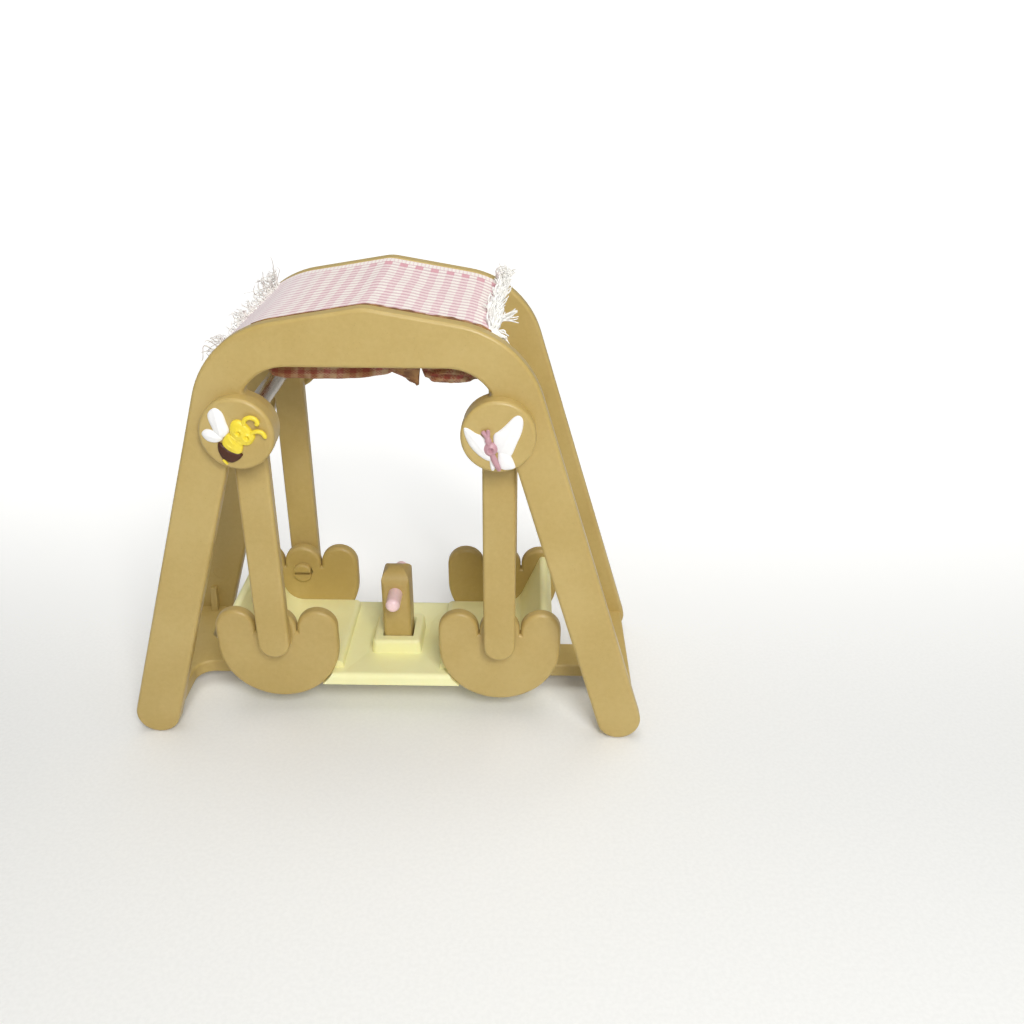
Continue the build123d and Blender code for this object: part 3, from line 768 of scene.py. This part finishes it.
    def _cloth(self, name: str, points: FloatArray, uv: tuple[FloatArray, FloatArray], finish: Material,
               in_hem: NDArray[np.bool_]) -> Piece:
        """Make a piece of cloth from a grid of points, with the hem's painted-shade finish on some of its
        faces.
        """
        patch = Patch(points.reshape(-1, 3), as_faces(grid_faces(*points.shape[:2])),
                      np.stack(uv, axis=2).reshape(-1, 2))
        piece = make_piece(name, patch, finish, closed=False)
        piece.data.materials.append(self.finishes.hem)
        piece.data.polygons.foreach_set("material_index", in_hem.ravel().astype(np.int32))
        return piece

    def build(self) -> None:
        sheet = self.sheet()
        pieces = [self.fray_left(), self.fray_right(), self.torn_tab()]
        self.glue_bead()
        log.info("sheet flat %.1f x %.1f mm, area %.0f mm2", self.flat_width / MM, self.flat_length / MM,
                 self.flat_area / MM**2)

    def _threads(self, root: FloatArray, heading: FloatArray, length: FloatArray, curl: FloatArray,
                 radius: FloatArray) -> Patch:
        """Loose threads that leave the cloth's edge and curl.

        With s from 0 to 1 along a thread: root + heading * length * s, plus a curl of
        length * s^1.2 * (sin, cos) in the two directions square to it, less droop * length * s^2.

        Args:
            root: Where each thread starts.
            heading: Its first direction.
            length: Its length.
            curl: Its curl: turn rate, phase and width, one row a thread.
            radius: Its radius.

        Returns:
            The threads as one surface.
        """
        s = np.linspace(0, 1, self.thread_rings)[None, :, None]
        heading = heading / np.linalg.norm(heading, axis=1, keepdims=True)
        side = np.cross(heading, np.array([0.0, 1.0, 0.0]))
        side /= np.linalg.norm(side, axis=1, keepdims=True)
        other = np.cross(heading, side)
        reach = length[:, None, None]
        rate, phase, width = (curl[:, k][:, None, None] for k in range(3))
        swing = np.sin(rate * s + phase) - np.sin(phase)
        roll = np.cos(rate * s * 0.8 + phase * 1.7) - np.cos(phase * 1.7)
        path = root[:, None] + heading[:, None] * reach * s
        path = path + width * reach * s**1.2 * (swing * side[:, None] + roll * other[:, None])
        path = path - np.array([0.0, 0.0, 1.0]) * self.thread_droop * reach * s**2
        radii = radius[:, None] * (1 - 0.45 * s[..., 0] ** 3)
        return tubes(path, radii, THREAD_SIDES)

    def _locks(self, seed: int, end: str, locks: Sequence[tuple[float, ...]],
               thick: tuple[float, float]) -> Patch:
        """Bunches of loose threads along one end of the sheet.

        Args:
            seed: Seed of their scatter.
            end: Which end, left or right.
            locks: For each bunch its share of the way to the rear, spread, count, three parts of its
                heading, length in millimetres, curl width and how far in it starts in millimetres.
            thick: Smallest and largest thread radius in millimetres.

        Returns:
            All threads as one surface.
        """
        rng = np.random.default_rng(seed)
        patches = []
        for centre, spread, count, *heading, reach, width, deep in locks:
            count = int(count)
            share = np.clip(rng.normal(centre, spread, count), 0.0, 1.0)
            left, right = self._edges(share)
            y = self._way_to_rear(share)
            inset = rng.uniform(0.1, deep, count) * MM
            x = left + inset if end == "left" else right - inset
            root = np.stack([x, y, self.top(x, y)], axis=1)
            aim = np.array(heading) + rng.normal(0.0, 0.16, (count, 3))
            aim[:, 1] += 4.0 * (centre - share)
            length = reach * MM * rng.uniform(0.6, 1.15, count)
            curl = np.stack([rng.uniform(2.5, 7.0, count), rng.uniform(0, 6.3, count),
                             width * rng.uniform(0.4, 1.2, count)], axis=1)
            radius = rng.uniform(*thick, count) * MM
            patches.append(self._threads(root, aim, length, curl, radius))
        return merged(patches)

    def fray_left(self) -> Piece:
        """Make the short curly threads at the left end of the sheet."""
        locks = (
            (0.03, 0.03, 16, -0.6, -0.2, -0.3, 3.6, 0.42, 0.6),
            (0.08, 0.04, 14, -1.0, -0.3, 0.3, 3.0, 0.40, 0.6),
            (0.30, 0.10, 14, -1.0, 0.1, 0.6, 2.2, 0.34, 0.6),
            (0.42, 0.05, 16, -0.8, -0.1, 0.9, 3.2, 0.42, 0.6),
            (0.56, 0.05, 12, -0.8, 0.2, 1.0, 2.8, 0.40, 0.6),
            (0.70, 0.05, 14, -0.9, 0.1, 0.9, 3.0, 0.40, 0.6),
            (0.82, 0.04, 22, -1.0, 0.2, 0.9, 4.4, 0.46, 0.6),
            (0.94, 0.03, 22, -0.7, 0.3, 1.1, 4.6, 0.44, 0.6),
            (0.50, 0.28, 120, -0.5, 0.0, 0.5, 1.1, 0.25, 0.4),
        )
        patch = self._locks(SEED, "left", locks, (0.07, 0.15))
        return make_piece("canopy_fray_left", patch, self.finishes.grey_thread)

    def fray_right(self) -> Piece:
        """Make the thick bunched threads at the right end of the sheet."""
        locks = (
            (0.04, 0.03, 36, 0.45, -0.3, -0.2, 2.6, 0.10, 1.2),
            (0.10, 0.04, 60, 0.15, 0.9, 0.6, 4.4, 0.10, 1.8),
            (0.24, 0.02, 16, 1.0, 0.1, 0.5, 4.4, 0.07, 0.8),
            (0.28, 0.06, 70, 0.1, 1.0, 0.6, 4.8, 0.10, 1.9),
            (0.46, 0.06, 60, 0.15, 1.0, 0.7, 5.0, 0.10, 1.6),
            (0.64, 0.06, 60, 0.2, 0.9, 0.9, 5.0, 0.12, 1.2),
            (0.80, 0.05, 56, 0.3, 0.6, 1.1, 4.8, 0.18, 0.9),
            (0.93, 0.03, 60, 0.5, 0.3, 1.2, 4.8, 0.26, 0.7),
        )
        patch = self._locks(SEED + 1, "right", locks, (0.17, 0.3))
        return make_piece("canopy_fray_right", patch, self.finishes.thread)

    def torn_tab(self) -> Piece:
        """Make the glue-stiffened tab that hangs at the tear of the front hem.

        A bowed sheet between two edges that both run down: the left one slantwise to the tip, the
        right one almost straight. The strip along the left edge is bare cloth in the hem's
        painted-shade finish.
        """
        along, down = np.meshgrid(np.linspace(0, 1, self.tab_columns), np.linspace(0, 1, self.tab_rows))
        x0, x1 = 1.6 + 6.3 * down, 10.2 - 0.7 * down
        x = (x0 + (x1 - x0) * along) * MM
        tip = 84.2 + 1.0 * (1 - along) ** 1.3 + 0.15 * np.sin(11 * along)
        z = (88.4 + (tip - 88.4) * down) * MM
        y = self.front_y + (0.5 + 0.5 * np.sin(2.4 * along + 0.3) * down + 0.25 * down) * MM
        _, column = np.indices((self.tab_rows - 1, self.tab_columns - 1))
        piece = self._cloth("canopy_torn_tab", np.stack([x, y, z], axis=2), (x, z), self.finishes.glue,
                            column < self.tab_bare_columns)
        thicken(piece, "tab_thickness", self.tab_thickness)
        return piece

    def glue_bead(self) -> None:
        """Make the dried glue along the joint of the sheet and the front plate.

        A thin bead whose radius swells and thins along the roof line.
        """
        x = np.linspace(-22.0, 24.0, 160) * MM
        strong = 0.25 + 0.75 / (1 + np.exp(-(x / MM - 3.0) / 1.5))
        blob = 0.5 + 0.3 * np.sin(900 * x) + 0.25 * np.sin(2300 * x + 1.0) + 0.2 * np.sin(410 * x + 0.4)
        radius = MM * (0.12 + 0.3 * strong * np.clip(blob, 0.05, 1.2))
        plate_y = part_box("front_frame")[1].y
        z = self.roof.height(x, 0.12 * MM)
        path = np.stack([x, np.full_like(x, plate_y + 0.05 * MM), z], axis=1)[None]
        patch = tubes(path, radius[None], 8)
        make_piece("canopy_glue_bead", patch, self.finishes.glue)


# ---------------------------------------------------------------- painted relief on the caps


@dataclass(frozen=True)
class Dome:
    """Low dome over a closed outline, in millimetres across and up from the cap's centre.

    A mark (across, up, radius, depth) is a raised ring round a dimple, and ridge is the height of
    a soft ridge down the middle.
    """

    outline: Sequence[tuple[float, float]]
    height: float
    swell: float = 2.2
    marks: Sequence[tuple[float, float, float, float]] = ()
    ridge: float = 0.0
    around: int = 96
    rings: int = 34
    ridge_width: float = 0.35

    def surface(self, cap: "CapFace") -> Patch:
        """Return the closed dome on a cap.

        A point is centre + rho * (edge - centre), lifted by height * (1 - rho^swell)^(1 / swell).
        A mark adds 0.35 depth exp(-((d - r) / 0.4 r)^2) - depth exp(-(d / 0.55 r)^2) at distance d.
        """
        edge = smooth_curve(self.outline, self.around, closed=True)
        middle = edge.mean(axis=0)
        rho = np.sin(np.linspace(0.02, math.pi / 2, self.rings))[:, None]
        across, up = (middle[k] + rho * (edge[:, k] - middle[k]) for k in range(2))
        lift = self.height * (1 - rho**self.swell) ** (1 / self.swell) * np.ones((1, self.around))
        for mark_x, mark_y, radius, depth in self.marks:
            apart = np.hypot(across - mark_x, up - mark_y)
            ring = np.exp(-(((apart - radius) / (0.4 * radius)) ** 2))
            lift = lift + 0.35 * depth * ring - depth * np.exp(-((apart / (0.55 * radius)) ** 2))
        if self.ridge:
            wide = edge - middle
            axis = wide[np.argmax(np.hypot(*wide.T))]
            axis = axis / np.hypot(*axis)
            off = np.abs((across - middle[0]) * axis[1] - (up - middle[1]) * axis[0])
            lift = lift + self.ridge * np.exp(-((off / self.ridge_width) ** 2)) * (1 - rho**4)
        skirt = np.full((1, self.around), -cap.sink)
        across, up = (np.concatenate([part, part[-1:]]) for part in (across, up))
        skin = cap.placed(across, up, np.concatenate([lift, skirt])).reshape(-1, 3)
        poles = cap.placed(np.full(2, middle[0]), np.full(2, middle[1]),
                           np.array([lift[0].mean(), -cap.sink]))
        last = self.rings * self.around
        total = last + self.around
        side = np.arange(self.around)
        ahead = (side + 1) % self.around
        top = np.stack([np.full(self.around, total), side, ahead], axis=1)
        base = np.stack([np.full(self.around, total + 1), last + ahead, last + side], axis=1)
        return Patch(np.concatenate([skin, poles]),
                     as_faces(grid_faces(self.rings + 1, self.around, wrap=True), top, base))


@dataclass(frozen=True)
class Cord:
    """Rounded thread through points given as across, up and height, with a radius at each."""

    points: Sequence[tuple[float, float, float]]
    radius: Sequence[float]
    rings: int = 40
    sides: int = 14

    def surface(self, cap: "CapFace") -> Patch:
        """Return the closed thread on a cap."""
        path = smooth_curve(self.points, self.rings)
        count = len(self.points)
        thick = np.interp(np.linspace(0, count - 1, self.rings), np.arange(count), self.radius)
        ring = np.arange(self.rings)
        end = np.clip(np.minimum(ring, ring[::-1]) / 3.0, 0, 1)
        thick = thick * np.sqrt(1 - (1 - end) ** 2 * 0.85)
        return tubes(cap.placed(*path.T)[None], thick[None] * MM, self.sides)


@dataclass
class CapFace:
    """Face of a front cap, which carries low rounded shapes."""

    cap: str
    sink: float = 0.12

    def __post_init__(self) -> None:
        """Take the cap's centre and face from the frame."""
        low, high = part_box(self.cap)
        self.centre = np.array([(low.x + high.x) / 2, low.y, (low.z + high.z) / 2])

    def placed(self, across: FloatArray, up: FloatArray, height: FloatArray) -> FloatArray:
        """Return points on the cap, in metres, from places in millimetres."""
        return self.centre + MM * np.stack([across, -height, up], axis=-1)


@dataclass(frozen=True)
class Figure:
    """One painted part of a figure: its cap, its piece, the node it replaces and its shapes."""

    cap: str
    piece: str
    node: str
    slot: Slot
    shapes: Sequence[Dome | Cord]

    def build(self, finishes: Finishes) -> None:
        """Make the piece and let it stand for its node."""
        cap = CapFace(self.cap)
        patch = merged([shape.surface(cap) for shape in self.shapes])
        piece = make_piece(self.piece, patch, finishes.of_slot[self.slot])
        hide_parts(self.node)


BEE_CAP, BUTTERFLY_CAP = "front_left_cap", "front_right_cap"
FIGURES = (
    # The bee: two wings, a round head with curled feelers on a ribbed chest, and a dark tail.
    Figure(BEE_CAP, "bee_wings_relief", "bee_wings", Slot.WHITE, (
        Dome([(-3.4, 5.6), (-4.7, 4.75), (-4.95, 3.4), (-4.2, 0.95), (-3.3, -0.5), (-2.6, -0.6), (-1.2, 0.8),
              (-1.5, 2.6), (-2.1, 4.7)], 0.72, ridge=0.12),
        Dome([(-6.6, 0.15), (-5.95, 1.1), (-4.8, 1.15), (-3.4, 0.3), (-2.6, -0.7), (-3.8, -1.55),
              (-5.6, -1.25)], 0.66, ridge=0.1),
    )),
    Figure(BEE_CAP, "bee_body_relief", "bee_body", Slot.YELLOW, (
        Dome([(0.7, 3.3), (-0.55, 2.65), (-1.0, 0.95), (-0.4, -0.7), (1.2, -1.9), (2.7, -1.9), (3.85, -0.4),
              (3.5, 0.95), (2.2, 2.6)], 1.05, 2.8, ((0.83, 0.68, 0.66, 0.5), (2.35, -0.28, 0.66, 0.5))),
        Dome([(-2.75, -1.5), (-1.6, 0.25), (-0.6, 0.1), (0.9, -1.3), (1.25, -2.4), (0.8, -3.6), (-0.3, -3.95),
              (-2.1, -2.85)], 0.86, 3.0, ridge=0.06),
        Cord([(-1.5, -0.2, 0.58), (-0.6, -1.3, 0.8), (0.85, -2.5, 0.55)], (0.16, 0.26, 0.16)),
        Cord([(-2.2, -1.2, 0.5), (-1.1, -2.3, 0.74), (0.45, -3.2, 0.45)], (0.16, 0.26, 0.16)),
        Cord([(-1.0, 0.1, 0.5), (0.1, -0.9, 0.56), (1.3, -1.9, 0.5)], (0.25, 0.3, 0.25)),
        Cord([(1.9, 2.2, 0.5), (2.25, 3.35, 0.6), (3.2, 3.9, 0.6), (4.3, 3.6, 0.6), (4.75, 2.8, 0.55),
              (4.25, 2.3, 0.5)], (0.46, 0.46, 0.46, 0.46, 0.46, 0.42)),
        Cord([(2.9, 0.3, 0.5), (4.1, 1.0, 0.58), (5.3, 0.85, 0.58), (5.85, 0.1, 0.55), (5.8, -0.35, 0.5)],
             (0.42, 0.44, 0.46, 0.46, 0.42)),
        Cord([(-2.9, -5.0, 0.35), (-2.6, -5.6, 0.3), (-2.2, -6.15, 0.2)], (0.32, 0.3, 0.2)),
    )),
    Figure(BEE_CAP, "bee_tail_relief", "bee_abdomen", Slot.BROWN, (
        Dome([(-3.6, -1.6), (-2.7, -1.8), (-1.3, -3.0), (0.9, -3.9), (0.45, -4.85), (-0.5, -5.5),
              (-1.6, -5.75), (-3.05, -4.9), (-3.75, -3.2)], 0.86, 2.6),
    )),
    # The butterfly: four wings, a round body with a dimple, a spine, a tail and two feelers.
    Figure(BUTTERFLY_CAP, "butterfly_wings_relief", "butterfly_wings", Slot.WHITE, (
        Dome([(-0.9, 0.6), (0.2, 1.6), (1.4, 2.7), (2.9, 4.3), (4.0, 4.75), (4.8, 3.8), (4.65, 1.6),
              (3.6, -1.2), (2.5, -3.7), (1.2, -3.7), (0.0, -3.2), (-0.8, -1.6)], 0.74, ridge=0.1),
        Dome([(0.2, -2.6), (1.6, -2.8), (2.5, -3.7), (3.3, -5.6), (3.25, -6.3), (1.9, -6.7), (0.5, -6.4),
              (-0.1, -4.6)], 0.66),
        Dome([(-6.7, 1.9), (-5.9, 2.0), (-4.4, 1.05), (-3.0, 0.3), (-2.0, -1.2), (-1.2, -3.6), (-1.3, -4.9),
              (-3.1, -4.25), (-5.2, -2.2), (-6.35, 0.0)], 0.72, ridge=0.1),
        Dome([(-1.6, -4.3), (-0.8, -4.6), (-0.55, -6.0), (-0.85, -6.85), (-1.35, -6.8), (-1.65, -5.6)], 0.5),
    )),
    Figure(BUTTERFLY_CAP, "butterfly_body_relief", "butterfly_body", Slot.MAUVE, (
        Dome([(-2.95, -2.2), (-2.55, -1.2), (-1.5, -0.8), (-0.5, -1.2), (-0.1, -2.2), (-0.5, -3.2),
              (-1.5, -3.65), (-2.55, -3.2)], 1.0, 3.4, ((-1.45, -2.3, 0.7, 0.55),)),
        Cord([(-2.1, 0.45, 0.5), (-1.95, -0.3, 0.6), (-1.75, -1.2, 0.5)], (0.45, 0.66, 0.5)),
        Cord([(-1.2, -3.2, 0.45), (-0.85, -4.2, 0.5), (-0.3, -5.5, 0.5), (0.3, -6.8, 0.35)],
             (0.5, 0.62, 0.58, 0.4)),
        Cord([(-2.1, 0.3, 0.55), (-2.6, 0.95, 0.55), (-3.05, 1.6, 0.45)], (0.4, 0.44, 0.4)),
        Cord([(-2.0, 0.3, 0.55), (-1.95, 1.1, 0.55), (-2.0, 1.9, 0.45)], (0.4, 0.42, 0.38)),
    )),
)


# ---------------------------------------------------------------- studio


@dataclass
class Studio:
    """Pale floor that curves up into a backdrop, soft lamps and the camera."""

    half_width: float = 1.6
    front: float = 0.9
    back: float = 1.3
    rise: float = 1.4
    bend: float = 0.5
    lens: float = 34.2018
    place: Colour = (0.030533, -0.202021, 0.14862)
    tilt: float = 0.467
    pan: float = -0.012
    roll: float = 0.007
    sky_level: float = 0.32
    aim: Colour = (0.0, 0.0, 0.05)

    def floor(self) -> None:
        """Make the floor: flat, then a quarter circle, then straight up."""
        turn = np.linspace(0, math.pi / 2, 40)
        flat = np.linspace(-self.front, self.back - self.bend, 12)[:-1]
        y = np.concatenate([flat, self.back - self.bend + self.bend * np.sin(turn), [self.back]])
        z = np.concatenate([np.zeros_like(flat), self.bend * (1 - np.cos(turn)), [self.rise]])
        x = np.linspace(-self.half_width, self.half_width, 9)
        points = np.stack(np.broadcast_arrays(x[None, :], y[:, None], z[:, None]), axis=2).reshape(-1, 3)
        mesh = bpy.data.meshes.new("floor")
        mesh.from_pydata(points.tolist(), [], grid_faces(len(y), len(x)).tolist())
        mesh.polygons.foreach_set("use_smooth", np.ones(len(mesh.polygons), bool))
        bench = NodeBench("pale_paper")
        tooth = bench.noise(bench.coordinate(), 0.8 * MM, 3.0)
        paper = bench.blend(bench.band(tooth, 0.3, 0.7), from_srgb(236, 236, 233), from_srgb(240, 240, 237))
        # Painted light: a glow seen only by the camera, faint at the front and stronger towards the rear,
        # lifts the floor and backdrop behind the swing out of the lamps' shade.
        to_rear = bench.parts(bench.coordinate())[1]
        near = bench.band(to_rear, -0.05, 0.16, 0.015, 0.5)
        far = bench.reckon("ADD", near, bench.band(to_rear, 0.16, 0.7, 0.0, 0.3))
        glow = bench.times(far, bench.node("LightPath", "Is Camera Ray", {}))
        mesh.materials.append(bench.finish(Base_Color=paper, Roughness=0.75, IOR=1.35,
                                           Emission_Color=(1.0, 1.0, 1.0), Emission_Strength=glow))
        add_object("floor", mesh)

    def camera(self) -> None:
        """Place the camera from its tilt, pan and roll."""
        ahead = np.array([math.sin(self.pan) * math.cos(self.tilt),
                          math.cos(self.pan) * math.cos(self.tilt), -math.sin(self.tilt)])
        level = np.array([math.cos(self.pan), -math.sin(self.pan), 0.0])
        above = np.cross(level, ahead)
        right = math.cos(self.roll) * level + math.sin(self.roll) * above
        up = math.cos(self.roll) * above - math.sin(self.roll) * level
        data = bpy.data.cameras.new("camera")
        data.lens = self.lens
        data.sensor_width = 36.0
        data.clip_start, data.clip_end = 0.01, 20.0
        camera = add_object("camera", data)
        turn = Matrix(np.stack([right, up, -ahead], axis=1).tolist()).to_4x4()
        camera.matrix_world = Matrix.Translation(Vector(self.place)) @ turn
        bpy.context.scene.camera = camera

    def lamp(self, name: str, place: Colour, size: float, power: float) -> None:
        """Hang a square soft lamp that faces the swing."""
        data = bpy.data.lights.new(name, "AREA")
        data.shape = "SQUARE"
        data.size = size
        data.energy = power
        lamp = add_object(name, data)
        lamp.location = place
        lamp.rotation_mode = "QUATERNION"
        lamp.rotation_quaternion = (Vector(self.aim) - Vector(place)).to_track_quat("-Z", "Y")

    def sky(self) -> None:
        """Light all round with a plain white, and show full white to the camera."""
        world = bpy.data.worlds.new("studio_air")
        world.use_nodes = True
        bpy.context.scene.world = world
        tree = world.node_tree
        tree.nodes.clear()
        path = tree.nodes.new("ShaderNodeLightPath")
        level = tree.nodes.new("ShaderNodeMapRange")
        level.inputs["To Min"].default_value = self.sky_level
        level.inputs["To Max"].default_value = 1.0
        tree.links.new(path.outputs["Is Camera Ray"], level.inputs["Value"])
        glow = tree.nodes.new("ShaderNodeBackground")
        tree.links.new(level.outputs["Result"], glow.inputs["Strength"])
        output = tree.nodes.new("ShaderNodeOutputWorld")
        tree.links.new(glow.outputs[0], output.inputs["Surface"])

    def build(self) -> None:
        """Set up the whole studio."""
        self.camera()
        self.floor()
        self.sky()
        self.lamp("overhead_lamp", (0.05, 0.02, 0.9), 0.6, 2.7)
        self.lamp("front_lamp", (0.14, -0.41, 0.38), 0.18, 1.85)
        bpy.context.scene.view_settings.view_transform = "Standard"


def main() -> None:
    """Dress the frame, add the soft and painted pieces and set up the studio."""
    logging.basicConfig(level=logging.INFO, format="%(name)s: %(message)s")
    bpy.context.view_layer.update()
    finishes = Finishes()
    dress_moulded_parts(finishes)
    Canopy(finishes, RoofLine()).build()
    for figure in FIGURES:
        figure.build(finishes)
    Studio().build()


if __name__ == "__main__":
    main()
